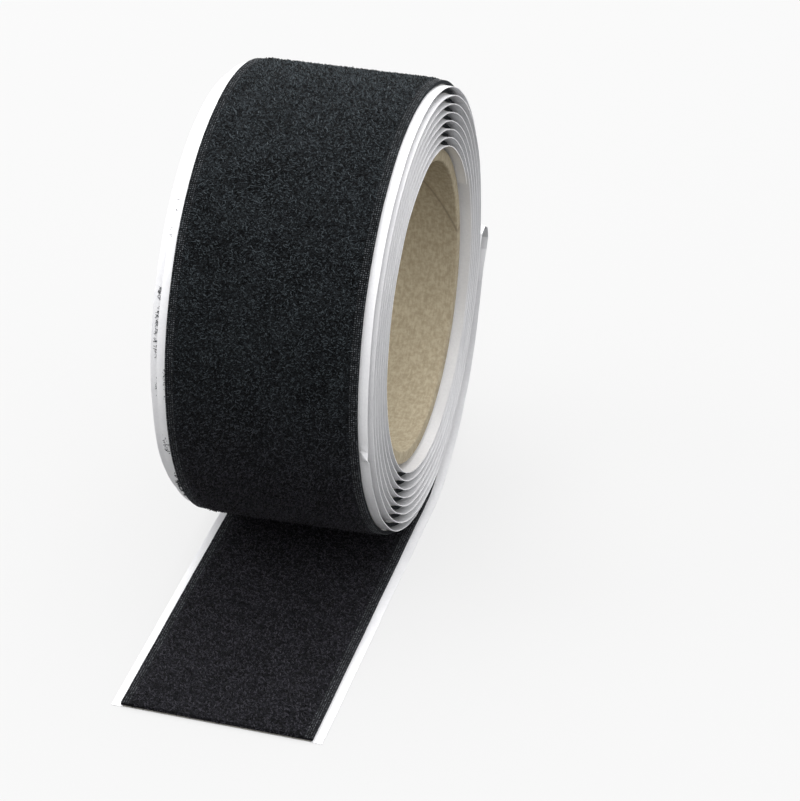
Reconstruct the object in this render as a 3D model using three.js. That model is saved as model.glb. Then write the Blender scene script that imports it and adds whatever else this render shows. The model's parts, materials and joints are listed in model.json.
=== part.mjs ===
import * as THREE from "three";

// A roll of self-adhesive loop tape on a cardboard core, in millimetres, +Z up.
// The roll's axis lies along X. The tape runs round it in the YZ plane, and its free tail lies
// towards -Y on whatever the roll stands on.
// The origin is on the underside of the tape, straight below the axis and midway across the roll.

// Core
const coreBoreRadius = 38.1;
const coreWall = 3.5;
const coreOverhang = 0.8; // of the core past the fabric at each side
const coreSeatGap = 0.3; // between the core and the first turn's liner
const coreSegments = 64;

// Tape, from the loops to the liner
const fabricWidth = 50;
const fabricThickness = 1.4;
const adhesiveWidth = 49;
const adhesiveThickness = 0.3;
const linerWidth = 55;
const linerThickness = 0.2;
const layerGap = 0.1; // between the fabric, the adhesive and the liner
const turnGap = 0.1; // between one turn's loops and the next turn's liner

// Winding
const windingTurns = 7.9;
const linerSpread = 1.4; // how much further the turns under the outermost one reach at each side
const stepsPerTurn = 42;
const spreadTurns = 1.1; // turns back from the end at which the inner turns' reach is full
const spreadEase = 0.2; // turns over which the reach changes

// Fold behind the roll, where the tape turns back on itself, loops against loops
const foldAngle = THREE.MathUtils.degToRad(80); // from straight down, towards the back
const foldRadius = 2.5; // of the loops round the inside of the fold
const foldReturn = THREE.MathUtils.degToRad(40); // that the fold turns past half a turn
const foldSteps = 12;
const returnSteps = 4;
const jointGap = 0.3; // between one stretch of tape and the next
const faceGap = 0.45; // between the loops of the outermost turn and the loops under it

// Foot and tail
const footSag = 0.5; // how far the roll sinks into the loops that it stands on
const tailReach = 112; // from below the axis to the middle of the cut edge
const liftReach = 38; // from below the axis to the line where the tail bends up
const endLength = 30; // of the end that peels off the liner
const tailDrift = 0.02; // sideways travel of the tape for each length past the fold
const cutSlope = 0.05; // of the cut edge, along the tape for each width

const stackThickness = fabricThickness + adhesiveThickness + linerThickness + 2 * layerGap;
const turnPitch = stackThickness + turnGap;
const coreRadius = coreBoreRadius + coreWall;
const coreLength = fabricWidth + 2 * coreOverhang;
const firstTurnRadius = coreRadius + coreSeatGap + stackThickness;
const rollRadius = firstTurnRadius + windingTurns * turnPitch; // of the loops where the last turn ends
const startAngle = foldAngle - 2 * Math.PI * windingTurns;
const stepAngle = (2 * Math.PI) / stepsPerTurn;

// Angles round the axis start straight down and grow towards the back, then the top, then the front.
function turnRadius(angle) {
  return rollRadius - (turnPitch * (foldAngle - angle)) / (2 * Math.PI);
}

const footDepth = turnRadius(0) + faceGap - footSag; // from the axis to the loops that it stands on
const axisHeight = footDepth + stackThickness;

// The loops of the stretch that comes back down from the fold and lies flat under the roll.
function returnRadius(angle) {
  return Math.min(turnRadius(angle) + faceGap, footDepth / Math.cos(angle));
}

// How far the loops of the outermost turn are pressed in over the foot.
function pressedDepth(angle) {
  if (Math.abs(angle) >= foldAngle) return 0;
  return Math.max(0, turnRadius(angle) - (returnRadius(angle) - faceGap));
}

function smoothShare(value) {
  return THREE.MathUtils.smoothstep(value, 0, 1);
}

// How much further than its own width the liner reaches, at each side, at an angle of the winding.
function linerReach(angle) {
  const turnsBack = (foldAngle - angle) / (2 * Math.PI);
  return linerSpread * smoothShare((turnsBack - spreadTurns + spreadEase) / spreadEase);
}

// A station is a place on the loops: y and z, the unit direction towards the liner, the sideways
// travel of the tape's middle, and what differs there from the plain section.
function station(y, z, towardsY, towardsZ, extra = {}) {
  return { y, z, towardsY, towardsZ, side: 0, pressed: 0, reach: 0, slope: 0, ...extra };
}

function windingStations() {
  const stations = [];
  for (let angle = foldAngle; angle > startAngle; angle -= stepAngle) {
    stations.unshift(windingStation(angle));
  }
  stations.unshift(windingStation(startAngle));
  return stations;
}

function windingStation(angle) {
  const radius = turnRadius(angle);
  const outY = Math.sin(angle);
  const outZ = -Math.cos(angle);
  return station(radius * outY, radius * outZ, -outY, -outZ, {
    pressed: pressedDepth(angle),
    reach: linerReach(angle),
  });
}

// A place past the winding's end: along the roll's surface and above it, with the liner's direction
// given in the same two directions.
function surfaceStation(along, above, towardsAlong, towardsAbove) {
  const angle = foldAngle + along / rollRadius;
  const radius = rollRadius + above;
  const outY = Math.sin(angle);
  const outZ = -Math.cos(angle);
  const towardsY = towardsAlong * -outZ + towardsAbove * outY;
  const towardsZ = towardsAlong * outY + towardsAbove * outZ;
  return station(radius * outY, radius * outZ, towardsY, towardsZ);
}

function foldStations() {
  const stations = [];
  const turned = Math.PI + foldReturn;
  for (let step = 0; step <= foldSteps; step += 1) {
    const angle = (turned * step) / foldSteps;
    const along = jointGap + foldRadius * Math.sin(angle);
    const above = foldRadius - foldRadius * Math.cos(angle);
    stations.push(surfaceStation(along, above, Math.sin(angle), -Math.cos(angle)));
  }
  const crown = Math.round(foldSteps / 2);
  const flareRadius =
    (foldRadius * (1 + Math.cos(foldReturn)) - faceGap) / (1 - Math.cos(foldReturn));
  const flareEnd = jointGap - (foldRadius + flareRadius) * Math.sin(foldReturn);
  for (let step = 1; step <= returnSteps; step += 1) {
    const angle = foldReturn * (1 - step / returnSteps);
    const along = flareEnd + flareRadius * Math.sin(angle);
    const above = faceGap + flareRadius * (1 - Math.cos(angle));
    stations.push(surfaceStation(along, above, -Math.sin(angle), Math.cos(angle)));
  }
  const firstAngle = foldAngle + flareEnd / rollRadius;
  for (let angle = foldAngle; angle > 0; angle -= stepAngle) {
    if (angle < firstAngle - stepAngle / 2) stations.push(returnStation(angle));
  }
  stations.push(station(-liftReach, -footDepth, 0, -1));
  return withDrift(stations, crown);
}

function returnStation(angle) {
  const radius = returnRadius(angle);
  const flat = radius < turnRadius(angle) + faceGap;
  const outY = Math.sin(angle);
  const outZ = -Math.cos(angle);
  return station(radius * outY, radius * outZ, flat ? 0 : outY, flat ? -1 : outZ);
}

// From the fold's crown on, the tape travels sideways in step with its length.
function withDrift(stations, crown) {
  let travelled = 0;
  for (let i = crown + 1; i < stations.length; i += 1) {
    const before = stations[i - 1];
    const here = stations[i];
    travelled += Math.hypot(here.y - before.y, here.z - before.z);
    here.side = tailDrift * travelled;
  }
  return stations;
}

function flatStation(y, side, slope = 0) {
  return station(y, 0, 0, -1, { side, slope });
}

// Each layer: its width, its two faces as depths from the loops, and what it does at a station.
const adhesiveDepth = fabricThickness + layerGap;
const linerDepth = adhesiveDepth + adhesiveThickness + layerGap;
const fabricLayer = { width: fabricWidth, near: 0, far: fabricThickness, isPressed: true };
const adhesiveLayer = {
  width: adhesiveWidth,
  near: adhesiveDepth,
  far: adhesiveDepth + adhesiveThickness,
};
const linerLayer = {
  width: linerWidth,
  near: linerDepth,
  far: linerDepth + linerThickness,
  isSpread: true,
};

function sectionPoint(at, across, depth) {
  const y = at.y + at.towardsY * depth - across * at.slope;
  return new THREE.Vector3(at.side + across, y, at.z + at.towardsZ * depth);
}

function sectionCorners(at, layer) {
  const half = layer.width / 2 + (layer.isSpread ? at.reach : 0);
  const near = layer.near + (layer.isPressed ? at.pressed : 0);
  return [
    sectionPoint(at, -half, near),
    sectionPoint(at, half, near),
    sectionPoint(at, half, layer.far),
    sectionPoint(at, -half, layer.far),
  ];
}

// One closed strip of a layer through the stations.
function stripGeometry(stations, layer) {
  const positions = [];
  const indices = [];
  for (const at of stations) {
    for (const corner of sectionCorners(at, layer)) positions.push(...corner.toArray());
  }
  const sides = 4;
  for (let i = 0; i + 1 < stations.length; i += 1) {
    for (let edge = 0; edge < sides; edge += 1) {
      const p = i * sides + edge;
      const q = i * sides + ((edge + 1) % sides);
      indices.push(q, p, p + sides, q, p + sides, q + sides);
    }
  }
  const last = (stations.length - 1) * sides;
  indices.push(0, 1, 2, 0, 2, 3);
  indices.push(last + 3, last + 2, last + 1, last + 3, last + 1, last);
  const geometry = new THREE.BufferGeometry();
  geometry.setAttribute("position", new THREE.Float32BufferAttribute(positions, 3));
  geometry.setIndex(indices);
  geometry.computeVertexNormals();
  return geometry;
}

// The least distance between the faces of two turns of one strip, measured on its corners.
function leastGapToItself(stations, layer) {
  const corners = stations.map((at) => sectionCorners(at, layer));
  let least = Infinity;
  for (let i = 0; i < corners.length; i += 1) {
    for (let j = i + Math.round(stepsPerTurn / 2); j < corners.length; j += 1) {
      for (const here of corners[i]) {
        for (const there of corners[j]) least = Math.min(least, here.distanceTo(there));
      }
    }
  }
  return least;
}

const materials = {
  fabric: new THREE.MeshStandardMaterial({ color: 0x17191b, roughness: 0.95, metalness: 0 }),
  adhesive: new THREE.MeshStandardMaterial({ color: 0x8d8c84, roughness: 0.4, metalness: 0 }),
  liner: new THREE.MeshStandardMaterial({ color: 0xf2f2f4, roughness: 0.5, metalness: 0 }),
  cardboard: new THREE.MeshStandardMaterial({ color: 0xb7a384, roughness: 0.9, metalness: 0 }),
};

function mesh(name, geometry, material) {
  const made = new THREE.Mesh(geometry, material);
  made.name = name;
  return made;
}

function cardboardCore() {
  const half = coreLength / 2;
  const profile = [
    new THREE.Vector2(coreBoreRadius, -half),
    new THREE.Vector2(coreRadius, -half),
    new THREE.Vector2(coreRadius, half),
    new THREE.Vector2(coreBoreRadius, half),
    new THREE.Vector2(coreBoreRadius, -half),
  ];
  const geometry = new THREE.LatheGeometry(profile, coreSegments);
  const core = mesh("cardboard_core", geometry, materials.cardboard);
  core.rotation.z = -Math.PI / 2;
  return core;
}

// The wound tape and the stretch that folds back and runs under it, about the roll's axis.
function roll() {
  const group = new THREE.Group();
  group.position.z = axisHeight;
  const winding = windingStations();
  const fold = foldStations();
  group.add(
    cardboardCore(),
    mesh("loop_fabric_winding", stripGeometry(winding, fabricLayer), materials.fabric),
    mesh("adhesive_winding", stripGeometry(winding, adhesiveLayer), materials.adhesive),
    mesh("liner_winding", stripGeometry(winding, linerLayer), materials.liner),
    mesh("loop_fabric_fold", stripGeometry(fold, fabricLayer), materials.fabric),
    mesh("adhesive_fold", stripGeometry(fold, adhesiveLayer), materials.adhesive),
    mesh("liner_fold", stripGeometry(fold, linerLayer), materials.liner),
  );
  const layers = { loop_fabric: fabricLayer, adhesive: adhesiveLayer, liner: linerLayer };
  for (const [name, layer] of Object.entries(layers)) {
    const gap = leastGapToItself(winding, layer);
    console.log(`${name}_winding: least gap to itself ${gap.toFixed(3)} mm`);
  }
  return { group, sideAtLift: fold.at(-1).side };
}

// The free tail, about the line on its loops where it bends up from the roll's foot.
function tail(sideAtLift) {
  const group = new THREE.Group();
  group.position.set(0, -liftReach, stackThickness);
  const reach = tailReach - liftReach;
  const peelReach = reach - endLength;
  const sideAt = (distance) => sideAtLift + tailDrift * distance;
  const start = flatStation(-jointGap, sideAt(jointGap));
  const peelLine = flatStation(-peelReach, sideAt(peelReach));
  const cut = flatStation(-reach, sideAt(reach), cutSlope);
  group.add(
    mesh("loop_fabric_tail", stripGeometry([start, peelLine], fabricLayer), materials.fabric),
    mesh("adhesive_tail", stripGeometry([start, peelLine], adhesiveLayer), materials.adhesive),
    mesh("liner_tail", stripGeometry([start, cut], linerLayer), materials.liner),
    tapeEnd(peelReach, sideAt(peelReach + jointGap), sideAt(reach)),
  );
  return group;
}

// The end of the fabric and its adhesive, about the line on its loops where it peels off the liner.
function tapeEnd(peelReach, sideAtPeel, sideAtCut) {
  const group = new THREE.Group();
  group.position.y = -peelReach;
  const start = flatStation(-jointGap, sideAtPeel);
  const cut = flatStation(-endLength, sideAtCut, cutSlope);
  group.add(
    mesh("loop_fabric_end", stripGeometry([start, cut], fabricLayer), materials.fabric),
    mesh("adhesive_end", stripGeometry([start, cut], adhesiveLayer), materials.adhesive),
  );
  return group;
}

const part = new THREE.Group();
const wound = roll();
part.add(wound.group, tail(wound.sideAtLift));

export default part;
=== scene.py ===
import json
import math

import bpy
import numpy as np
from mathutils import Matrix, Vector


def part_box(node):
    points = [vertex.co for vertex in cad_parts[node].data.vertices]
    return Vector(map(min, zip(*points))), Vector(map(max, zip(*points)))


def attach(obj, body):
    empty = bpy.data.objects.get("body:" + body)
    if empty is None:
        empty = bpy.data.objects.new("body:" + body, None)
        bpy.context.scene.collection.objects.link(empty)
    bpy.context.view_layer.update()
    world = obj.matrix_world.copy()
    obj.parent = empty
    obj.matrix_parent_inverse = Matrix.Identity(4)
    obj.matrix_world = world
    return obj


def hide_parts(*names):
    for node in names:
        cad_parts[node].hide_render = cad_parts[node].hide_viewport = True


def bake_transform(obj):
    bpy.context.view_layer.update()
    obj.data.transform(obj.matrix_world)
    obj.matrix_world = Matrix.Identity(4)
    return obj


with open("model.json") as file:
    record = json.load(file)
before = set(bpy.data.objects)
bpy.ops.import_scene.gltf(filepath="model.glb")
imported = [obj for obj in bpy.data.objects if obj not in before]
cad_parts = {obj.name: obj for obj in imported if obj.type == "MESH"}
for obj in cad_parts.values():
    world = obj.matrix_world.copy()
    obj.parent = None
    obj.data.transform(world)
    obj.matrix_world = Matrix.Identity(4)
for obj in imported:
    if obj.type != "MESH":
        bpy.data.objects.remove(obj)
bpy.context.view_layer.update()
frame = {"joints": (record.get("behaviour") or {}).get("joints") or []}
mm = 0.001
joints = {joint["name"]: joint for joint in frame["joints"]}

# A roll of loop tape: a cardboard core, and a tape of loop fabric, adhesive and release liner.
# X runs along the roll's axis, and the free tail lies towards -Y. Lengths are in metres.


def linked(name, data):
    # A new object in the scene.
    made = bpy.data.objects.new(name, data)
    bpy.context.scene.collection.objects.link(made)
    return made


# Camera

camera = {
    "target": (5.711 * mm, 56.385 * mm, 2.1 * mm),
    "azimuth": 14.62,
    "elevation": 28.81,
    "turn": 0.73,
    "distance": 1105 * mm,
    "focalPixels": 3927,
    "imageHeight": 801,
}


def makeCamera():
    azimuth = math.radians(camera["azimuth"])
    elevation = math.radians(camera["elevation"])
    flat = math.cos(elevation)
    back = Vector((math.sin(azimuth) * flat, -math.cos(azimuth) * flat, math.sin(elevation)))
    data = bpy.data.cameras.new("photoCamera")
    data.lens = camera["focalPixels"] * data.sensor_width / camera["imageHeight"]
    made = linked("photoCamera", data)
    made.location = Vector(camera["target"]) + back * camera["distance"]
    made.rotation_euler = (-back).to_track_quat("-Z", "Y").to_euler()
    made.rotation_euler.rotate_axis("Z", math.radians(camera["turn"]))
    bpy.context.scene.camera = made


makeCamera()
print("camera is set")


# Node trees, written as sums

class Wire:
    # One output of a node. A sum on it adds Math nodes to its tree.
    def __init__(self, tree, socket):
        self.tree = tree
        self.socket = socket

    def output(self, name):
        return Wire(self.tree, self.socket.node.outputs[name])

    def rounded(self):
        return self.tree.math("ROUND", self)

    def floored(self):
        return self.tree.math("FLOOR", self)

    def sign(self):
        return self.tree.math("SIGN", self)

    def sine(self):
        return self.tree.math("SINE", self)

    def __abs__(self):
        return self.tree.math("ABSOLUTE", self)

    def __neg__(self):
        return self.tree.math("SUBTRACT", 0, self)

    def __add__(self, other):
        return self.tree.math("ADD", self, other)

    def __radd__(self, other):
        return self.tree.math("ADD", other, self)

    def __sub__(self, other):
        return self.tree.math("SUBTRACT", self, other)

    def __rsub__(self, other):
        return self.tree.math("SUBTRACT", other, self)

    def __mul__(self, other):
        return self.tree.math("MULTIPLY", self, other)

    def __rmul__(self, other):
        return self.tree.math("MULTIPLY", other, self)

    def __truediv__(self, other):
        return self.tree.math("DIVIDE", self, other)

    def __rtruediv__(self, other):
        return self.tree.math("DIVIDE", other, self)

    def __mod__(self, other):
        return self.tree.math("FLOORED_MODULO", self, other)

    def __pow__(self, other):
        return self.tree.math("POWER", self, other)

    def __lt__(self, other):
        return self.tree.math("LESS_THAN", self, other)

    def __gt__(self, other):
        return self.tree.math("GREATER_THAN", self, other)


class Tree:
    def __init__(self, nodeTree):
        self.nodeTree = nodeTree

    def node(self, kind, settings=None, sockets=None, output=0):
        made = self.nodeTree.nodes.new(kind)
        for name, value in (settings or {}).items():
            setattr(made, name, value)
        for name, value in (sockets or {}).items():
            if isinstance(value, Wire):
                self.nodeTree.links.new(value.socket, made.inputs[name])
            else:
                made.inputs[name].default_value = value
        return Wire(self, made.outputs[output]) if len(made.outputs) else None

    def math(self, operation, *values):
        return self.node("ShaderNodeMath", {"operation": operation}, dict(enumerate(values)))

    def smooth(self, value, low, high, atLow=0.0, atHigh=1.0):
        sockets = {0: value, 1: low, 2: high, 3: atLow, 4: atHigh}
        return self.node("ShaderNodeMapRange", {"interpolation_type": "SMOOTHSTEP"}, sockets)

    def vector(self, x, y, z):
        return self.node("ShaderNodeCombineXYZ", None, {0: x, 1: y, 2: z})

    def parts(self, vector):
        first = self.node("ShaderNodeSeparateXYZ", None, {0: vector})
        return first, first.output("Y"), first.output("Z")

    def scaled(self, vector, factor):
        sockets = {0: vector, "Scale": factor}
        return self.node("ShaderNodeVectorMath", {"operation": "SCALE"}, sockets)

    def summed(self, first, second):
        return self.node("ShaderNodeVectorMath", {"operation": "ADD"}, {0: first, 1: second})

    def noise(self, vector, scale, detail=2.0, roughness=0.5):
        sockets = {"Vector": vector, "Scale": scale, "Detail": detail, "Roughness": roughness}
        return self.node("ShaderNodeTexNoise", None, sockets, "Fac")

    def mixColour(self, factor, first, second):
        sockets = {0: factor, 6: first, 7: second}
        return self.node("ShaderNodeMix", {"data_type": "RGBA"}, sockets, 2)


class GeometryTree(Tree):
    # A tree that takes and gives a geometry, with named inputs and a material.
    def __init__(self, name, inputs):
        group = bpy.data.node_groups.new(name, "GeometryNodeTree")
        super().__init__(group)
        add = group.interface.new_socket
        add(name="Geometry", in_out="INPUT", socket_type="NodeSocketGeometry")
        add(name="Geometry", in_out="OUTPUT", socket_type="NodeSocketGeometry")
        for kind, titles in {**inputs, "Material": ["Material"]}.items():
            for title in titles:
                add(name=title, in_out="INPUT", socket_type="NodeSocket" + kind)
        self.source = self.node("NodeGroupInput")

    def given(self, title):
        return self.source.output(title)

    def finish(self, geometry):
        sockets = {"Geometry": geometry, "Material": self.given("Material")}
        made = self.node("GeometryNodeSetMaterial", None, sockets)
        self.node("NodeGroupOutput", None, {"Geometry": made})

    def read(self, name, kind="FLOAT"):
        return self.node("GeometryNodeInputNamedAttribute", {"data_type": kind}, {"Name": name})

    def store(self, geometry, name, value, kind="FLOAT"):
        settings = {"data_type": kind, "domain": "POINT"}
        sockets = {"Geometry": geometry, "Name": name, "Value": value}
        return self.node("GeometryNodeStoreNamedAttribute", settings, sockets)

    def switch(self, condition, whenFalse, whenTrue):
        sockets = {"Switch": condition, "False": whenFalse, "True": whenTrue}
        return self.node("GeometryNodeSwitch", {"input_type": "FLOAT"}, sockets)

    def random(self, low, high, seed):
        sockets = {2: low, 3: high, "Seed": seed}
        return self.node("FunctionNodeRandomValue", {"data_type": "FLOAT"}, sockets, 1)

    def faced(self, up, across):
        # The turn that brings Z to the first direction and X as near as it can to the second.
        settings = {"primary_axis": "Z", "secondary_axis": "X"}
        sockets = {"Primary Axis": up, "Secondary Axis": across}
        return self.node("FunctionNodeAxesToRotation", settings, sockets)

    def twisted(self, rotation, low, high, seed):
        # The rotation, followed by a random turn between two sets of angles.
        sockets = {0: low, 1: high, "Seed": seed}
        angles = self.node("FunctionNodeRandomValue", {"data_type": "FLOAT_VECTOR"}, sockets)
        turn = self.node("FunctionNodeEulerToRotation", None, {"Euler": angles})
        sockets = {"Rotation": rotation, "Rotate By": turn}
        return self.node("FunctionNodeRotateRotation", {"rotation_space": "LOCAL"}, sockets)

    def pointsOn(self, selection):
        # Random points on the chosen faces of the given geometry.
        sockets = {
            "Mesh": self.given("Geometry"),
            "Selection": selection,
            "Density": self.given("Density"),
            "Seed": self.given("Seed"),
        }
        return self.node("GeometryNodeDistributePointsOnFaces", None, sockets)

    def threadOver(self, *places):
        # A closed three-sided thread over the curve from the first place to the last, which the
        # two places between draw to themselves.
        sockets = dict(zip(("Start", "Start Handle", "End Handle", "End"), places))
        sockets["Resolution"] = self.given("Segments")
        curve = self.node("GeometryNodeCurvePrimitiveBezierSegment", None, sockets)
        sockets = {"Resolution": 3, "Radius": self.given("Thread")}
        ring = self.node("GeometryNodeCurvePrimitiveCircle", None, sockets)
        sockets = {"Curve": curve, "Profile Curve": ring, "Fill Caps": True}
        return self.node("GeometryNodeCurveToMesh", None, sockets)

    def scattered(self, points, shape, rotation, scale):
        # The shape at every point, as one plain mesh.
        sockets = {"Points": points, "Instance": shape, "Rotation": rotation, "Scale": scale}
        placed = self.node("GeometryNodeInstanceOnPoints", None, sockets)
        real = self.node("GeometryNodeRealizeInstances", None, {"Geometry": placed})
        sockets = {"Geometry": real, "Shade Smooth": True}
        return self.node("GeometryNodeSetShadeSmooth", None, sockets)


def grown(source, tree, values, name):
    # What a tree makes of an object, as a plain mesh object. The source is used up.
    modifier = source.modifiers.new(name, "NODES")
    modifier.node_group = tree.nodeTree
    for item in tree.nodeTree.interface.items_tree:
        if item.in_out == "INPUT" and item.name in values:
            modifier[item.identifier] = values[item.name]
    graph = bpy.context.evaluated_depsgraph_get()
    mesh = bpy.data.meshes.new_from_object(source.evaluated_get(graph), depsgraph=graph)
    mesh.name = name
    bpy.data.objects.remove(source)
    made = linked(name, mesh)
    return made


# The tape's route, in the YZ plane, as its loops lie. Angles round the axis start straight down
# and grow towards the back, then the top, then the front.

coreLow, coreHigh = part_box("cardboard_core")
axisHeight = (coreLow.z + coreHigh.z) / 2
coreRadius = (coreHigh.z - coreLow.z) / 2
liftLine = -joints["tail_lift"]["pos_m"][1]
peelLine = -joints["tape_peel"]["pos_m"][1]
stackThickness = joints["tail_lift"]["pos_m"][2]

route = {
    "turns": 7.9,
    "turnPitch": 2.2 * mm,
    "coreGap": 0.3 * mm,
    "foldAngle": math.radians(80),
    "foldRadius": 2.5 * mm,
    "foldReturn": math.radians(40),  # how far past half a turn the fold goes
    "faceGap": 0.45 * mm,  # between the loops that face each other past the fold
    "tailReach": 112 * mm,  # from below the axis to the cut
    "tailSplit": 60 * mm,  # from below the axis to where the tail's two pieces of tape meet
    "drift": 0.02,  # sideways travel for each length of tape past the fold
    "cutSlope": 0.05,  # how far the cut slants, for each length across it
    "fineStep": 1 * mm,
    "coarseStep": 2 * mm,
    # how many stations a turn, the fold, the flare and the way back are worked out at
    "turnStations": 360,
    "foldStations": 60,
    "flareStations": 20,
    "returnStations": 200,
}
rollRadius = (
    coreRadius + route["coreGap"] + stackThickness + route["turns"] * route["turnPitch"]
)
footDepth = axisHeight - stackThickness
# How far along the foot's route the crown of the fold lies.
crownTravel = math.pi / 2 * route["foldRadius"]


def turnRadius(angle):
    return rollRadius - route["turnPitch"] * (route["foldAngle"] - angle) / (2 * math.pi)


def returnRadius(angle):
    return min(turnRadius(angle) + route["faceGap"], footDepth / math.cos(angle))


def pressedDepth(angle):
    if abs(angle) >= route["foldAngle"]:
        return 0
    return max(0, turnRadius(angle) - (returnRadius(angle) - route["faceGap"]))


def polar(radius, angle):
    return (radius * math.sin(angle), axisHeight - radius * math.cos(angle))


# A station is y, z, the direction towards the liner in y and z, how far the loops are pressed
# and how many turns before the fold it lies.

def windingStations(turnsBack, turnsLeft):
    count = 1 + round((turnsBack - turnsLeft) * route["turnStations"])
    stations = []
    for share in np.linspace(turnsBack, turnsLeft, count):
        angle = route["foldAngle"] - 2 * math.pi * share
        y, z = polar(turnRadius(angle), angle)
        towards = (-math.sin(angle), math.cos(angle))
        stations.append((y, z, *towards, pressedDepth(angle), share))
    return stations


def surfaceStation(along, above, towardsAlong, towardsAbove):
    # A station given by its place on the roll's surface, past the fold's angle.
    angle = route["foldAngle"] + along / rollRadius
    y, z = polar(rollRadius + above, angle)
    outY, outZ = math.sin(angle), -math.cos(angle)
    towardsY = towardsAbove * outY - towardsAlong * outZ
    towardsZ = towardsAbove * outZ + towardsAlong * outY
    return (y, z, towardsY, towardsZ, 0, 0)


def footStations():
    # The fold, the flare that lays the tape back on the roll, and the way under the roll.
    stations = []
    radius = route["foldRadius"]
    back = route["foldReturn"]
    for angle in np.linspace(0, math.pi + back, route["foldStations"]):
        along = radius * math.sin(angle)
        above = radius - radius * math.cos(angle)
        stations.append(surfaceStation(along, above, math.sin(angle), -math.cos(angle)))
    flare = (radius * (1 + math.cos(back)) - route["faceGap"]) / (1 - math.cos(back))
    flareEnd = -(radius + flare) * math.sin(back)
    for angle in np.linspace(back, 0, route["flareStations"])[1:]:
        along = flareEnd + flare * math.sin(angle)
        above = route["faceGap"] + flare * (1 - math.cos(angle))
        stations.append(surfaceStation(along, above, -math.sin(angle), math.cos(angle)))
    firstAngle = route["foldAngle"] + flareEnd / rollRadius
    for angle in np.linspace(firstAngle, 0, route["returnStations"])[1:]:
        y, z = polar(returnRadius(angle), angle)
        isFlat = returnRadius(angle) < turnRadius(angle) + route["faceGap"]
        towards = (0, -1) if isFlat else (math.sin(angle), -math.cos(angle))
        stations.append((y, z, *towards, 0, 0))
    stations.append((-route["tailSplit"], stackThickness, 0, -1, 0, 0))
    return stations


def evenly(stations, step):
    # The same route with stations an even step apart, and how far along it each lies.
    table = np.array(stations, float)
    steps = np.hypot(*np.diff(table[:, :2], axis=0).T)
    along = np.concatenate([[0], np.cumsum(steps)])
    at = np.linspace(0, along[-1], 1 + max(1, round(along[-1] / step)))
    even = np.stack([np.interp(at, along, column) for column in table.T], axis=1)
    even[:, 2:4] /= np.hypot(even[:, 2], even[:, 3])[:, None]
    return even, at


def stationLine(stations, along, side, slope):
    # A line of points with what each station holds, for the trees that lay tape and stitches.
    y, z, towardsY, towardsZ, pressed, turnsBack = stations.T
    mesh = bpy.data.meshes.new("stationLine")
    mesh.from_pydata(np.stack([side, y, z], axis=1).tolist(), [], [])
    towards = np.stack([np.zeros_like(y), towardsY, towardsZ], axis=1)
    attribute = mesh.attributes.new("towards", "FLOAT_VECTOR", "POINT")
    attribute.data.foreach_set("vector", towards.astype(np.float32).ravel())
    values = {"along": along, "pressed": pressed, "turnsBack": turnsBack, "slope": slope}
    for name, column in values.items():
        attribute = mesh.attributes.new(name, "FLOAT", "POINT")
        attribute.data.foreach_set("value", column.astype(np.float32))
    return linked("stationLine", mesh)


def windingLine(turnsBack, turnsLeft, step):
    stations, at = evenly(windingStations(turnsBack, turnsLeft), step)
    stillLeft = evenly(windingStations(turnsLeft, 0), step)[1][-1] if turnsLeft else 0
    flat = np.zeros_like(at)
    return stationLine(stations, at - at[-1] - stillLeft, flat, flat)


footLength = evenly(footStations(), route["fineStep"])[1][-1]
endLength = route["tailReach"] - route["tailSplit"]


def sideAt(along):
    return route["drift"] * np.maximum(0, along - crownTravel)


def footLine(step):
    stations, along = evenly(footStations(), step)
    return stationLine(stations, along, sideAt(along), np.zeros_like(along))


def endLine(step):
    ends = (route["tailSplit"], route["tailReach"])
    stations, at = evenly([(-end, stackThickness, 0, -1, 0, 0) for end in ends], step)
    slope = route["cutSlope"] * at / endLength
    return stationLine(stations, footLength + at, sideAt(footLength + at), slope)


# How a strip's edges stray and curl: how many waves a metre of tape has, and how far apart in
# the noise the two edges, and one turn and the next, are read.
edgeWaves = {
    "stray": {"perMetre": 60, "sideStep": 7, "turnStep": 3},
    "curl": {"perMetre": 45, "sideStep": 5, "turnStep": 2},
}


def edgeWave(tree, kind, along, isRight, turnsBack):
    wave = edgeWaves[kind]
    turn = turnsBack.floored() * wave["turnStep"]
    at = tree.vector(along * wave["perMetre"], isRight * wave["sideStep"], turn)
    return tree.noise(at, 1.0) - 0.5


# One strip of a layer, closed all round, over a line of stations. Its rows follow the stations,
# with one more at each end for the end's face, and its columns run round the section.

sharpAngle = 0.9  # radians, past which an edge isn't smoothed
weldDistance = 0.001 * mm
pileNoise = (1.0, 3.0, 0.6)  # scale, detail and roughness


def stripGrid(tree, rowCount, columnCount):
    # A flat grid, and the row and the column of each of its points.
    sockets = {"Size X": 1, "Size Y": 1, "Vertices X": rowCount, "Vertices Y": columnCount}
    grid = tree.node("GeometryNodeMeshGrid", None, sockets)
    gridX, gridY = tree.parts(tree.node("GeometryNodeInputPosition"))[:2]
    row = ((gridX + 0.5) * (rowCount - 1)).rounded()
    column = ((gridY + 0.5) * (columnCount - 1)).rounded()
    return grid, row, column


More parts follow.
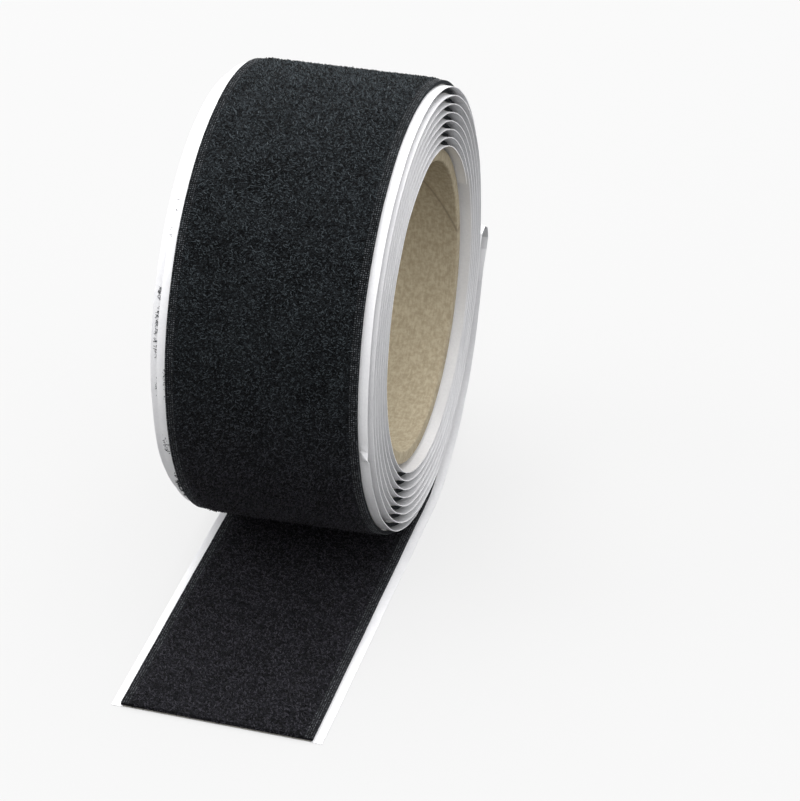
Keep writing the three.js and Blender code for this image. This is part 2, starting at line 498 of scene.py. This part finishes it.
def layTapeTree():
    tree = GeometryTree("layTape", {
        "Int": ["Columns"],
        "Float": [
            "Half Left", "Half Right", "Spread Left", "Spread Right", "Spread From", "Spread Ease",
            "Shift", "Crowding", "Near", "Far", "Edge Depth", "Edge Width", "Edge Ramp",
            "Pile Lift", "Pile Size", "Wander", "Curl", "Curl Width",
            "Dent", "Dent Turns", "Dent Reach",
        ],
    })
    given = tree.given
    sockets = {"Geometry": given("Geometry")}
    stationCount = tree.node("GeometryNodeAttributeDomainSize", None, sockets)
    columns = given("Columns")
    rowCount = stationCount + 2
    grid, row, column = stripGrid(tree, rowCount, columns * 2 + 3)
    station = tree.math("MINIMUM", tree.math("MAXIMUM", row - 1, 0), stationCount - 1)
    # rows and columns are whole numbers, so half a step tells two of them apart
    isEnd = (row < 0.5) + (row > rowCount - 1.5)

    def sampled(value, kind="FLOAT"):
        sockets = {"Geometry": given("Geometry"), "Value": value, "Index": station}
        return tree.node("GeometryNodeSampleIndex", {"data_type": kind}, sockets)

    place = sampled(tree.node("GeometryNodeInputPosition"), "FLOAT_VECTOR")
    towards = sampled(tree.read("towards", "FLOAT_VECTOR"), "FLOAT_VECTOR")
    along = sampled(tree.read("along"))
    pressed = sampled(tree.read("pressed"))
    turnsBack = sampled(tree.read("turnsBack"))
    slope = sampled(tree.read("slope"))

    # where the column lies across the tape, and on which face
    inLoop = column % (columns * 2 + 2)
    isTop = inLoop < columns + 0.5
    number = tree.switch(isTop, columns * 2 + 1 - inLoop, inLoop)
    lean = number / columns * 2 - 1
    crowded = lean.sign() * abs(lean) ** given("Crowding")
    spreadEnd = given("Spread From") + given("Spread Ease")
    spread = tree.smooth(turnsBack, given("Spread From"), spreadEnd)
    isRight = lean > 0
    reachLeft = given("Half Left") + spread * given("Spread Left")
    reachRight = given("Half Right") + spread * given("Spread Right")
    wander = edgeWave(tree, "stray", along, isRight, turnsBack) * given("Wander")
    reach = tree.switch(isRight, reachLeft, reachRight) + wander
    across = crowded * reach + spread * given("Shift")
    inward = reach * (1 - abs(crowded))

    # depth from the loops towards the liner
    rampEnd = given("Edge Width") + given("Edge Ramp")
    edge = tree.smooth(inward, given("Edge Width"), rampEnd, 1.0, 0.0)
    mapped = tree.vector(along, across, 0)
    pile = tree.noise(tree.scaled(mapped, 1 / given("Pile Size")), *pileNoise)
    pileDepth = (0.5 - pile) * given("Pile Lift") * (1 - edge)
    near = given("Near") + (given("Edge Depth") - given("Near")) * edge + pressed + pileDepth
    depth = tree.switch(isTop, given("Far"), near)
    depth = tree.switch(isEnd, depth, (given("Far") + given("Edge Depth")) * 0.5)
    curl = edgeWave(tree, "curl", along, isRight, turnsBack) * given("Curl")
    fromDent = abs(turnsBack - given("Dent Turns"))
    dented = tree.smooth(fromDent, 0, given("Dent Reach"), 1.0, 0.0) * isRight
    curl = curl - dented * given("Dent")
    curled = depth + curl * tree.smooth(inward, 0, given("Curl Width"), 1.0, 0.0)

    # the map is stored while the grid is flat, because the rows are read from where its points lie
    offset = tree.vector(across, -across * slope, 0)
    moved = tree.summed(tree.summed(place, offset), tree.scaled(towards, curled))
    laid = tree.store(grid, "tapeMap", tree.vector(along, across, depth), "FLOAT_VECTOR")
    laid = tree.store(laid, "turnsBack", turnsBack)
    laid = tree.node("GeometryNodeSetPosition", None, {"Geometry": laid, "Position": moved})
    sockets = {"Geometry": laid, "Distance": weldDistance}
    laid = tree.node("GeometryNodeMergeByDistance", None, sockets)
    angle = tree.node("GeometryNodeInputMeshEdgeAngle")
    sockets = {"Geometry": laid, "Selection": angle > sharpAngle, "Shade Smooth": False}
    tree.finish(tree.node("GeometryNodeSetShadeSmooth", {"domain": "EDGE"}, sockets))
    return tree


# The fabric's loops: small curled threads that stand on the strip's face, between its woven edges.

# where a loop's ends and handles lie, as shares of its width and its height
loopShares = {"foot": 0.45, "wide": 0.8, "sink": -0.4, "crown": 1.4}


def raiseLoopsTree():
    tree = GeometryTree("raiseLoops", {
        "Int": ["Seed", "Segments"],
        "Float": [
            "Density", "From", "To", "Pile Half", "Pile Depth", "Loop Width", "Loop Height",
            "Thread", "Lean", "Swing", "Size Spread", "Stray Size", "Stray Rarity",
        ],
    })
    given = tree.given
    along, across, depth = tree.parts(tree.read("tapeMap", "FLOAT_VECTOR"))
    inPart = (along > given("From")) * (along < given("To"))
    onPile = (abs(across) < given("Pile Half")) * (depth < given("Pile Depth"))
    points = tree.pointsOn(onPile * inPart)
    foot = given("Loop Width") * loopShares["foot"]
    wide = given("Loop Width") * loopShares["wide"]
    sink = given("Loop Height") * loopShares["sink"]
    crown = given("Loop Height") * loopShares["crown"]
    loop = tree.threadOver(
        tree.vector(-foot, 0, sink),
        tree.vector(-wide, foot, crown),
        tree.vector(wide, -foot, crown),
        tree.vector(foot, 0, sink),
    )
    lean = given("Lean")
    swing = given("Swing")
    low = tree.vector(-lean, -lean, -swing)
    high = tree.vector(lean, lean, swing)
    upright = tree.faced(points.output("Normal"), tree.vector(1, 0, 0))
    rotation = tree.twisted(upright, low, high, given("Seed") + 1)
    size = tree.random(1 - given("Size Spread"), 1 + given("Size Spread"), given("Seed") + 2)
    rare = tree.random(0.0, 1.0, given("Seed") + 3) ** given("Stray Rarity")
    tree.finish(tree.scattered(points, loop, rotation, size + rare * given("Stray Size")))
    return tree


# Lint caught on the edge of a strip: short dark curled fibres.

# where a fibre's ends and handles lie, as shares of its length
fibreShares = [(-0.5, 0, 0), (-0.2, 0.7, 0.2), (0.3, -0.6, 0.1), (0.5, 0.1, 0.15)]


def catchLintTree():
    tree = GeometryTree("catchLint", {
        "Int": ["Seed", "Segments"],
        "Float": [
            "Density", "Turns From", "Turns To", "Across From", "Across To", "Face Depth",
            "Clumping", "Clumps Along", "Clumps Across", "Length", "Thread", "Tilt", "Spin",
            "Smallest", "Largest",
        ],
    })
    given = tree.given
    along, across, depth = tree.parts(tree.read("tapeMap", "FLOAT_VECTOR"))
    turnsBack = tree.read("turnsBack")
    inTurns = (turnsBack > given("Turns From")) * (turnsBack < given("Turns To"))
    inAcross = (across > given("Across From")) * (across < given("Across To"))
    clumpsAt = tree.vector(along * given("Clumps Along"), across * given("Clumps Across"), 0)
    inClump = tree.noise(clumpsAt, 1.0) > given("Clumping")
    points = tree.pointsOn(inTurns * (across < 0) * (depth < given("Face Depth")))
    sockets = {"Geometry": points, "Selection": 1 - inAcross * inClump}
    kept = tree.node("GeometryNodeDeleteGeometry", {"domain": "POINT"}, sockets)
    fibre = tree.threadOver(*[tree.scaled(place, given("Length")) for place in fibreShares])
    tilt = given("Tilt")
    low = tree.vector(-tilt, -tilt, 0)
    high = tree.vector(tilt, tilt, given("Spin"))
    rotation = tree.twisted(points.output("Rotation"), low, high, given("Seed") + 1)
    size = tree.random(given("Smallest"), given("Largest"), given("Seed") + 2)
    tree.finish(tree.scattered(kept, fibre, rotation, size))
    return tree


# The ribs of the woven edges: short bars in lanes along both edges of the strip.

def stitchEdgesTree():
    tree = GeometryTree("stitchEdges", {
        "Int": ["Lanes", "Seed"],
        "Float": [
            "Lane Pitch", "Half", "Inset", "Depth", "Length", "Width", "Height", "Wander",
            "Unevenness", "Smallest", "Largest",
        ],
    })
    given = tree.given
    points = tree.node("GeometryNodeMeshToPoints", None, {"Mesh": given("Geometry")})
    sockets = {"Geometry": points, "Amount": given("Lanes") * 2}
    points = tree.node("GeometryNodeDuplicateElements", {"domain": "POINT"}, sockets)
    number = points.output("Duplicate Index")
    isRight = number % 2
    lane = (number / 2).floored()
    along = tree.read("along")
    slope = tree.read("slope")
    towards = tree.read("towards", "FLOAT_VECTOR")
    wander = edgeWave(tree, "stray", along, isRight, tree.read("turnsBack")) * given("Wander")
    uneven = given("Unevenness")
    jitter = tree.random(-uneven, uneven, given("Seed"))
    fromEdge = given("Inset") + lane * given("Lane Pitch") + jitter
    across = (isRight * 2 - 1) * (given("Half") + wander - fromEdge)
    depth = given("Depth") + tree.read("pressed")
    offset = tree.summed(tree.vector(across, -across * slope, 0), tree.scaled(towards, depth))
    points = tree.store(points, "tapeMap", tree.vector(along, across, depth), "FLOAT_VECTOR")
    points = tree.node("GeometryNodeSetPosition", None, {"Geometry": points, "Offset": offset})
    rotation = tree.faced(tree.scaled(towards, -1), tree.vector(1, -slope, 0))
    # a ball one unit across, which the bar's sides scale
    bar = tree.node("GeometryNodeMeshIcoSphere", None, {"Radius": 0.5, "Subdivisions": 1})
    sides = tree.vector(given("Length"), given("Width"), given("Height"))
    size = tree.random(given("Smallest"), given("Largest"), given("Seed") + 1)
    tree.finish(tree.scattered(points, bar, rotation, tree.scaled(sides, size)))
    return tree


# Materials. In each look, a noise is given by its scale, detail and roughness, and the tone by
# the two values of the noise between which the first colour turns into the second.

def emptied(block):
    # The node tree of a new material or world, without the nodes that it starts with.
    block.use_nodes = True
    block.node_tree.nodes.clear()
    return Tree(block.node_tree)


def surface(name, look, varying):
    # A material whose even values are set on the shader's own sockets.
    material = bpy.data.materials.new(name)
    tree = emptied(material)
    sockets = {**look["values"], **varying(tree, look)}
    shader = tree.node("ShaderNodeBsdfPrincipled", None, sockets)
    tree.node("ShaderNodeOutputMaterial", None, {"Surface": shader})
    return material


def tapeMap(tree):
    return tree.node("ShaderNodeAttribute", {"attribute_name": "tapeMap"}, None, "Vector")


def mixedTone(tree, noises, look):
    # The tone of a few noises, each by its share.
    first, *others = [noise * share for noise, share in zip(noises, look["toneShares"])]
    return tree.smooth(sum(others, first), *look["tone"])


def grainTone(tree, look):
    return tree.smooth(tree.noise(tapeMap(tree), *look["grain"]), *look["tone"])


def bumped(tree, height, look):
    return tree.node("ShaderNodeBump", None, {**look["bump"], "Height": height})


# Painted shade: the tape's last stretch, down the roll's front, under it and along the tail, gets a
# darker, more violet pile colour in place of the shade that falls there. It changes
# between these two places, which lie before the fold.
tailShadeFrom = -195 * mm
tailShadeTo = -140 * mm


def pileColour(tree, tone, look):
    along = tree.parts(tapeMap(tree))[0]
    # painted shade: past these places the pile takes the look's darker colour, which stands in for
    # shade
    inTailShade = tree.smooth(along, tailShadeFrom, tailShadeTo)
    light = tree.mixColour(inTailShade, look["light"], look["pressed"])
    return tree.mixColour(tone, look["deep"], light)


fabricLook = {
    "deep": (0.0010, 0.0011, 0.0014, 1),
    "light": (0.0214, 0.0252, 0.0284, 1),
    # painted shade: the darker, more violet fabric colour of the tape's last stretch and the tail
    "pressed": (0.0173, 0.0166, 0.0210, 1),
    "clumps": (900, 3.0, 0.65),
    "strands": (1.0, 2.0, 0.7),
    "strandsAlong": 4600,
    "strandsAcross": 3000,
    "patches": (90, 2.0, 0.5),
    "toneShares": (0.2, 0.7, 0.1),
    "tone": (0.48, 0.57),
    "ribPitch": 0.55 * mm,
    "heightShares": {"strands": 0.6, "clumps": 0.4, "ribs": 0.1},
    "bump": {"Strength": 0.8, "Distance": 0.25 * mm},
    "values": {
        "Roughness": 0.85,
        "Sheen Weight": 0.04,
        "Sheen Roughness": 0.4,
        "Sheen Tint": (0.75, 0.85, 1, 1),
        "Specular IOR Level": 0.07,
    },
}


def fabricVaries(tree, look):
    mapped = tapeMap(tree)
    along, across, depth = tree.parts(mapped)
    clumps = tree.noise(mapped, *look["clumps"])
    strandsAt = tree.vector(
        along * look["strandsAlong"], across * look["strandsAcross"], depth * look["strandsAcross"]
    )
    strands = tree.noise(strandsAt, *look["strands"])
    patches = tree.noise(mapped, *look["patches"])
    tone = mixedTone(tree, (clumps, strands, patches), look)
    ribs = (along * (2 * math.pi / look["ribPitch"])).sine()
    shares = look["heightShares"]
    height = strands * shares["strands"] + clumps * shares["clumps"] + ribs * shares["ribs"]
    return {"Base Color": pileColour(tree, tone, look), "Normal": bumped(tree, height, look)}


threadLook = {
    "deep": (0.0018, 0.0020, 0.0025, 1),
    "light": (0.0525, 0.0640, 0.0718, 1),
    # painted shade: the darker, more violet thread colour of the tape's last stretch and the tail
    "pressed": (0.0412, 0.0396, 0.0492, 1),
    "grain": (3000, 2.0, 0.6),
    "tone": (0.45, 0.54),
    "values": {
        "Roughness": 0.6,
        "Sheen Weight": 0.03,
        "Sheen Roughness": 0.4,
        "Specular IOR Level": 0.13,
    },
}


def threadVaries(tree, look):
    return {"Base Color": pileColour(tree, grainTone(tree, look), look)}


stitchLook = {
    "dark": (0.005, 0.005, 0.006, 1),
    "light": (0.098, 0.105, 0.113, 1),
    "grain": (1900, 2.0, 0.6),
    "tone": (0.38, 0.66),
    "values": {"Roughness": 0.55, "Specular IOR Level": 0.25},
}


def stitchVaries(tree, look):
    return {"Base Color": tree.mixColour(grainTone(tree, look), look["dark"], look["light"])}


linerLook = {
    "shade": (0.80, 0.80, 0.82, 1),
    "paper": (0.86, 0.86, 0.875, 1),
    "fibres": (1500, 3.0, 0.6),
    "clouds": (120, 2.0, 0.5),
    "toneShares": (0.5, 0.5),
    "tone": (0.35, 0.65),
    "bump": {"Strength": 0.15, "Distance": 0.05 * mm},
    "values": {"Roughness": 0.42, "Coat Weight": 0.15, "Coat Roughness": 0.25},
}


def linerVaries(tree, look):
    mapped = tapeMap(tree)
    fibres = tree.noise(mapped, *look["fibres"])
    tone = mixedTone(tree, (fibres, tree.noise(mapped, *look["clouds"])), look)
    colour = tree.mixColour(tone, look["shade"], look["paper"])
    return {"Base Color": colour, "Normal": bumped(tree, fibres, look)}


adhesiveLook = {
    "thick": (0.17, 0.163, 0.145, 1),
    "thin": (0.25, 0.24, 0.215, 1),
    "grain": (700, 3.0, 0.6),
    "tone": (0.35, 0.65),
    "values": {"Roughness": 0.25, "IOR": 1.47},
}


def adhesiveVaries(tree, look):
    return {"Base Color": tree.mixColour(grainTone(tree, look), look["thick"], look["thin"])}


# The core is a paper tube wound of slanting strips, which leave a shallow seam.

coreLook = {
    "dark": (0.32, 0.27, 0.185, 1),
    "pale": (0.46, 0.40, 0.29, 1),
    "seam": (0.20, 0.165, 0.115, 1),
    "seamShare": 0.7,
    "grain": (1.0, 4.0, 0.6),
    "grainAlong": 1800,
    "grainAround": 12,
    "fibres": (900, 4.0, 0.65),
    "toneShares": (0.4, 0.6),
    "tone": (0.35, 0.65),
    "bump": {"Strength": 0.3, "Distance": 0.1 * mm},
    "values": {"Roughness": 0.85, "Specular IOR Level": 0.2},
}
core = {
    "wall": 3.5 * mm,
    "around": 180,
    "columns": 61,
    "rounding": 0.5 * mm,
    "cornerPoints": 4,
    "seamPitch": 110 * mm,
    "seamWidth": 1.2 * mm,
    "seamDepth": 0.12 * mm,
}


def fromSeam(x, angle):
    # How far along the axis a place on the tube lies from its seam, in numbers or in wires.
    return abs((x / core["seamPitch"] + angle / (2 * math.pi)) % 1 - 0.5) * core["seamPitch"]


def coreVaries(tree, look):
    place = tree.node("ShaderNodeTexCoord", None, None, "Object")
    x, y, z = tree.parts(place)
    angle = tree.math("ARCTAN2", y, axisHeight - z)
    grainAt = tree.vector(x * look["grainAlong"], angle * look["grainAround"], 0)
    fibres = tree.noise(place, *look["fibres"])
    tone = mixedTone(tree, (tree.noise(grainAt, *look["grain"]), fibres), look)
    colour = tree.mixColour(tone, look["dark"], look["pale"])
    inSeam = tree.smooth(fromSeam(x, angle), 0, core["seamWidth"] / 2, 1.0, 0.0)
    colour = tree.mixColour(inSeam * look["seamShare"], colour, look["seam"])
    return {"Base Color": colour, "Normal": bumped(tree, fibres, look)}


materials = {
    "fabric": surface("loopFabric", fabricLook, fabricVaries),
    "liner": surface("linerPaper", linerLook, linerVaries),
    "adhesive": surface("adhesiveCoat", adhesiveLook, adhesiveVaries),
    "core": surface("coreCardboard", coreLook, coreVaries),
    "thread": surface("loopThread", threadLook, threadVaries),
    "stitch": surface("edgeStitch", stitchLook, stitchVaries),
}
print("materials are made")


# The tape's strips. Left is towards -X. Depths run from the line of stations, where the loops'
# tips are, towards the liner. A size that a strip doesn't name is zero.

laying = layTapeTree()
raising = raiseLoopsTree()
stitching = stitchEdgesTree()
catching = catchLintTree()

strip = {
    "Spread From": 1.0,  # turns before the fold
    "Spread Ease": 0.2,  # turns that the spread takes to grow
    "Crowding": 1.0,  # below 1, the columns crowd towards the edges
    "Edge Width": 2.3 * mm,  # the woven edge, which carries no pile
    "Edge Ramp": 0.9 * mm,
    "Pile Size": 1.4 * mm,  # how far apart the pile's hills lie
    "Wander": 0.25 * mm,
    "Curl Width": 1 * mm,
    "Dent Turns": 0.434,  # turns before the fold
    "Dent Reach": 0.007,
}
fabric = {
    **strip,
    "slot": "loop_fabric",
    "Columns": 51,
    "Half Left": 25 * mm,
    "Half Right": 25 * mm,
    "Near": 0.5 * mm,
    "Far": 1.5 * mm,
    "Edge Depth": 0.65 * mm,
    "Pile Lift": 0.9 * mm,
    "Material": materials["fabric"],
}
woundFabric = {
    **fabric,
    "Columns": 16,
    "Shift": 0.8 * mm,  # to the right, of the turns that are spread
    "Near": 0.05 * mm,
    "Pile Lift": 0.2 * mm,
}
adhesive = {
    **strip,
    "slot": "adhesive",
    "Columns": 6,
    "Half Left": 24.5 * mm,
    "Half Right": 24.5 * mm,
    "Shift": woundFabric["Shift"],
    "Near": 1.5 * mm,
    "Far": 1.85 * mm,
    "Edge Depth": 1.5 * mm,
    "Material": materials["adhesive"],
}
liner = {
    **strip,
    "slot": "liner",
    "Columns": 14,
    "Half Left": 27.5 * mm,
    "Half Right": 27.4 * mm,
    "Spread Left": 2.3 * mm,
    "Spread Right": 0.8 * mm,
    "Crowding": 0.6,
    "Near": 1.86 * mm,
    "Far": 2.06 * mm,
    "Edge Depth": 1.86 * mm,
    "Wander": 0.3 * mm,
    "Curl": 0.9 * mm,
    "Curl Width": 3 * mm,
    "Dent": 1.3 * mm,
    "Material": materials["liner"],
}
# The tail's liner lies on the table, so its edges hardly curl.
flatLiner = {**liner, "Curl": 0.12 * mm}

# The loops and the ribs that stand on the fabric where it shows.

loops = {
    "slot": "loop_fabric",
    "Density": 3.2e6,
    "Seed": 11,
    "Segments": 2,
    "Pile Half": 22.9 * mm,
    "Pile Depth": 1.2 * mm,
    "Loop Width": 0.5 * mm,
    "Loop Height": 0.42 * mm,
    "Thread": 0.085 * mm,
    "Lean": 0.8,  # radians
    "Swing": 1.1,  # radians, round the upright
    "Size Spread": 0.35,
    "Stray Size": 0.4,  # how much larger the rare stray loops are
    "Stray Rarity": 60.0,
    "Material": materials["thread"],
}
# how many pieces they are made in, so that no piece has too many faces
outerPieces = 5
footPieces = 2
pastTheCut = 1.0  # any length that is longer than the tail's last strip

stitches = {
    "slot": "loop_fabric",
    "Lanes": 4,
    "Lane Pitch": 0.56 * mm,
    "Half": fabric["Half Left"],
    "Inset": 0.2 * mm,
    "Depth": fabric["Edge Depth"],
    "Length": 0.38 * mm,
    "Width": 0.36 * mm,
    "Height": 0.32 * mm,
    "Wander": fabric["Wander"],
    "Unevenness": 0.04 * mm,
    "Smallest": 0.8,
    "Largest": 1.2,
    "Seed": 5,
    "Material": materials["stitch"],
}
stitchStep = 0.55 * mm

lint = {
    "slot": "loop_fabric",
    "Seed": 3,
    "Segments": 5,
    "Face Depth": 1.95 * mm,
    "Clumping": 0.47,
    "Clumps Along": 300.0,
    "Clumps Across": 500.0,
    "Length": 0.55 * mm,
    "Thread": 0.06 * mm,
    "Tilt": 0.4,  # radians
    "Spin": 6.283,  # radians, any way round
    "Smallest": 0.4,
    "Largest": 1.3,
    "Material": materials["thread"],
}
# Where lint sits: how many turns back, how far out on the liner's left edge, and how densely.
lintSizes = ("Turns From", "Turns To", "Across From", "Across To", "Density")
lintPlaces = {
    "lint_high": (0.575, 0.6, -27.5 * mm, -26.9 * mm, 3e6),
    "lint_outer": (1.49, 1.545, -28.9 * mm, -27.8 * mm, 8e6),
    "lint_outer_low": (1.455, 1.475, -28.7 * mm, -27.8 * mm, 5e6),
    "lint_inside": (0.46, 0.486, -25.8 * mm, -25.2 * mm, 6e6),
    "lint_low": (0.405, 0.425, -27.0 * mm, -25.2 * mm, 2e6),
    "lint_below": (0.34, 0.385, -26.6 * mm, -25.1 * mm, 16e6),
}

# Where the tape bends: how far behind the hinge line a bend starts, and how long it is. The
# ends of each bend are worked out from these, but nothing bends the tape at them.
bends = {
    "liftLead": 3 * mm,
    "liftLength": 18 * mm,
    "peelLead": 0 * mm,
    "peelLength": 14 * mm,
}


def replacing(made, nodes):
    if nodes:
        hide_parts(*nodes)
    return made


def bendEnds(hingeLine, lead, length):
    start = Vector((0, lead - hingeLine, stackThickness))
    return start, start - Vector((0, length, 0))


def onRoll(made, *nodes):
    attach(made, "roll")
    return replacing(made, nodes)


def onFoot(made, *nodes):
    start, end = bendEnds(liftLine, bends["liftLead"], bends["liftLength"])
    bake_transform(made)
    return replacing(made, nodes)


def onEnd(made, *nodes):
    start, end = bendEnds(peelLine, bends["peelLead"], bends["peelLength"])
    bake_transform(made)
    return replacing(made, nodes)


def laid(line, values, name):
    return grown(line, laying, values, name)


def loopsOver(cloth, name, start, end):
    # The loops that stand on one stretch of a strip of fabric.
    base = linked("loopBase", cloth.data)
    return grown(base, raising, {**loops, "From": start, "To": end}, name)


def stitchesAlong(line, name):
    return grown(line, stitching, stitches, name)


turns = route["turns"]
fine = route["fineStep"]
coarse = route["coarseStep"]

onRoll(laid(windingLine(turns, 1, coarse), woundFabric, "fabric_inner_turns"), "loop_fabric_winding")
fabricOuter = onRoll(laid(windingLine(1, 0, fine), fabric, "fabric_outer_turn"))
onRoll(laid(windingLine(turns, 0, coarse), adhesive, "adhesive_turns"), "adhesive_winding")
linerWound = onRoll(laid(windingLine(turns, 0, coarse), liner, "liner_turns"), "liner_winding")
print("the winding is laid")

fabricFoot = laid(footLine(fine), fabric, "fabric_foot")
onFoot(fabricFoot, "loop_fabric_fold", "loop_fabric_tail")
onFoot(laid(footLine(coarse), adhesive, "adhesive_foot"), "adhesive_fold", "adhesive_tail")
linerFoot = onFoot(laid(footLine(coarse), flatLiner, "liner_foot"), "liner_fold")
fabricEnd = onEnd(laid(endLine(fine), fabric, "fabric_end"), "loop_fabric_end")
onEnd(laid(endLine(coarse), adhesive, "adhesive_end_coat"), "adhesive_end")
linerEnd = laid(endLine(coarse), flatLiner, "liner_end")
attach(linerEnd, "tail")
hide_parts("liner_tail")
print("the tail is laid")

outerLength = 2 * math.pi * (rollRadius - route["turnPitch"] / 2)
stretch = outerLength / outerPieces
for part in range(outerPieces):
    start = stretch * part - outerLength
    onRoll(loopsOver(fabricOuter, f"outer_turn_loops_{part + 1}", start, start + stretch))
stretch = footLength / footPieces
for part in range(footPieces):
    start = stretch * part
    made = loopsOver(fabricFoot, f"foot_loops_{part + 1}", start, start + stretch)
    onFoot(made)
made = loopsOver(fabricEnd, "end_loops", footLength, footLength + pastTheCut)
onEnd(made)
onRoll(stitchesAlong(windingLine(1, 0, stitchStep), "outer_turn_stitches"))
onFoot(stitchesAlong(footLine(stitchStep), "foot_stitches"))
onEnd(stitchesAlong(endLine(stitchStep), "end_stitches"))
for name, sizes in lintPlaces.items():
    base = linked("lintBase", linerWound.data)
    onRoll(grown(base, catching, {**lint, **dict(zip(lintSizes, sizes))}, name))
print("the loops and the edge stitches stand on the fabric")


# The core's tube

def coreProfile():
    # Round the tube's wall: how far along the axis, how far from it, and which way the wall faces
    # there, 1 outwards, -1 into the bore and 0 at the ends and the corners.
    corner = core["rounding"]
    bore = coreRadius - core["wall"]
    end = (coreHigh.x - coreLow.x) / 2 - corner
    straight = np.linspace(-end, end, core["columns"])
    quarter = np.linspace(0, math.pi / 2, core["cornerPoints"])

    def rounded(x, radius, first, angles):
        turned = [first + angle for angle in angles]
        return [(x + corner * math.sin(a), radius + corner * math.cos(a), 0) for a in turned]

    return [
        *[(x, coreRadius, 1) for x in straight],
        *rounded(end, coreRadius - corner, 0, quarter[1:]),
        *rounded(end, bore + corner, math.pi / 2, quarter[:-1]),
        *[(x, bore, -1) for x in straight[::-1]],
        *rounded(-end, bore + corner, math.pi, quarter[1:]),
        *rounded(-end, coreRadius - corner, math.pi * 3 / 2, quarter[:-1]),
    ]


def makeCore():
    x, radius, facing = np.array(coreProfile()).T
    angle = np.linspace(0, 2 * math.pi, core["around"], endpoint=False)[:, None]
    seamShare = np.clip(1 - fromSeam(x[None, :], angle) / (core["seamWidth"] / 2), 0, 1)
    radius = radius - core["seamDepth"] * seamShare * facing
    y = radius * np.sin(angle)
    z = axisHeight - radius * np.cos(angle)
    points = np.stack([np.broadcast_to(x, y.shape), y, z], axis=2).reshape(-1, 3)
    here = np.arange(y.size).reshape(y.shape)
    below = np.roll(here, -1, axis=0)
    faces = np.stack([here, below, np.roll(below, -1, axis=1), np.roll(here, -1, axis=1)], axis=2)
    mesh = bpy.data.meshes.new("core_tube")
    mesh.from_pydata(points.tolist(), [], faces.reshape(-1, 4).tolist())
    mesh.shade_smooth()
    mesh.materials.append(materials["core"])
    return linked("core_tube", mesh)


coreTube = onRoll(makeCore(), "cardboard_core")
print("the core is in")


# Floor, lights and world

studio = {
    "background": 0.939,
    "worldStrength": 1.35,
    "floorSize": 4.0,
    "floorDrop": 0.05 * mm,
    # how pale the floor is to the camera, and to the light that bounces off it
    "floorSeen": 0.47,
    "floorBounce": 0.06,
    # the share of the floor's look that no shadow reaches
    "floorGlow": 0.8,
}


def grey(level):
    return (level, level, level, 1)


def seenShare(tree):
    # 1 for what the camera sees, also in a glossy or a clear surface, and 0 for other light.
    path = tree.node("ShaderNodeLightPath", None, None, "Is Camera Ray")
    seen = tree.math("MAXIMUM", path, path.output("Is Glossy Ray"))
    return tree.math("MAXIMUM", seen, path.output("Is Transmission Ray"))


def makeWorld():
    world = bpy.data.worlds.new("studio")
    tree = emptied(world)
    strength = tree.smooth(seenShare(tree), 0, 1, studio["worldStrength"], studio["background"])
    sockets = {"Color": grey(1), "Strength": strength}
    background = tree.node("ShaderNodeBackground", None, sockets)
    tree.node("ShaderNodeOutputWorld", None, {"Surface": background})
    bpy.context.scene.world = world


def floorMaterial():
    material = bpy.data.materials.new("paleFloor")
    tree = emptied(material)
    isSeen = seenShare(tree)
    tone = tree.mixColour(isSeen, grey(studio["floorBounce"]), grey(studio["floorSeen"]))
    lit = tree.node("ShaderNodeBsdfDiffuse", None, {"Color": tone})
    glow = tree.node("ShaderNodeEmission", None, {"Color": grey(studio["background"])})
    sockets = {0: isSeen * studio["floorGlow"], 1: lit, 2: glow}
    mixed = tree.node("ShaderNodeMixShader", None, sockets)
    tree.node("ShaderNodeOutputMaterial", None, {"Surface": mixed})
    return material


def makeFloor():
    half = studio["floorSize"] / 2
    corners = [(-half, -half, 0), (half, -half, 0), (half, half, 0), (-half, half, 0)]
    mesh = bpy.data.meshes.new("floor")
    mesh.from_pydata(corners, [], [(0, 1, 2, 3)])
    mesh.materials.append(floorMaterial())
    floor = linked("floor", mesh)
    floor.location.z = -studio["floorDrop"]


lamps = {
    "top": {"place": (-0.3, 0.9, 2.1), "size": 2.0, "power": 42.0},
    "left": {"place": (-1.7, -0.5, 1.4), "size": 1.2, "power": 12.0},
    "front": {"place": (-0.2, -0.9, 2.1), "size": 1.2, "power": 4.0},
}
lampAim = Vector((0, -20 * mm, axisHeight))


def makeLamps():
    for name, values in lamps.items():
        data = bpy.data.lights.new(name, "AREA")
        data.size = values["size"]
        data.energy = values["power"]
        lamp = linked(name, data)
        lamp.location = values["place"]
        lamp.rotation_euler = (lampAim - lamp.location).to_track_quat("-Z", "Y").to_euler()


makeWorld()
makeFloor()
makeLamps()
bpy.context.scene.view_settings.view_transform = "Standard"
print("the studio is lit")
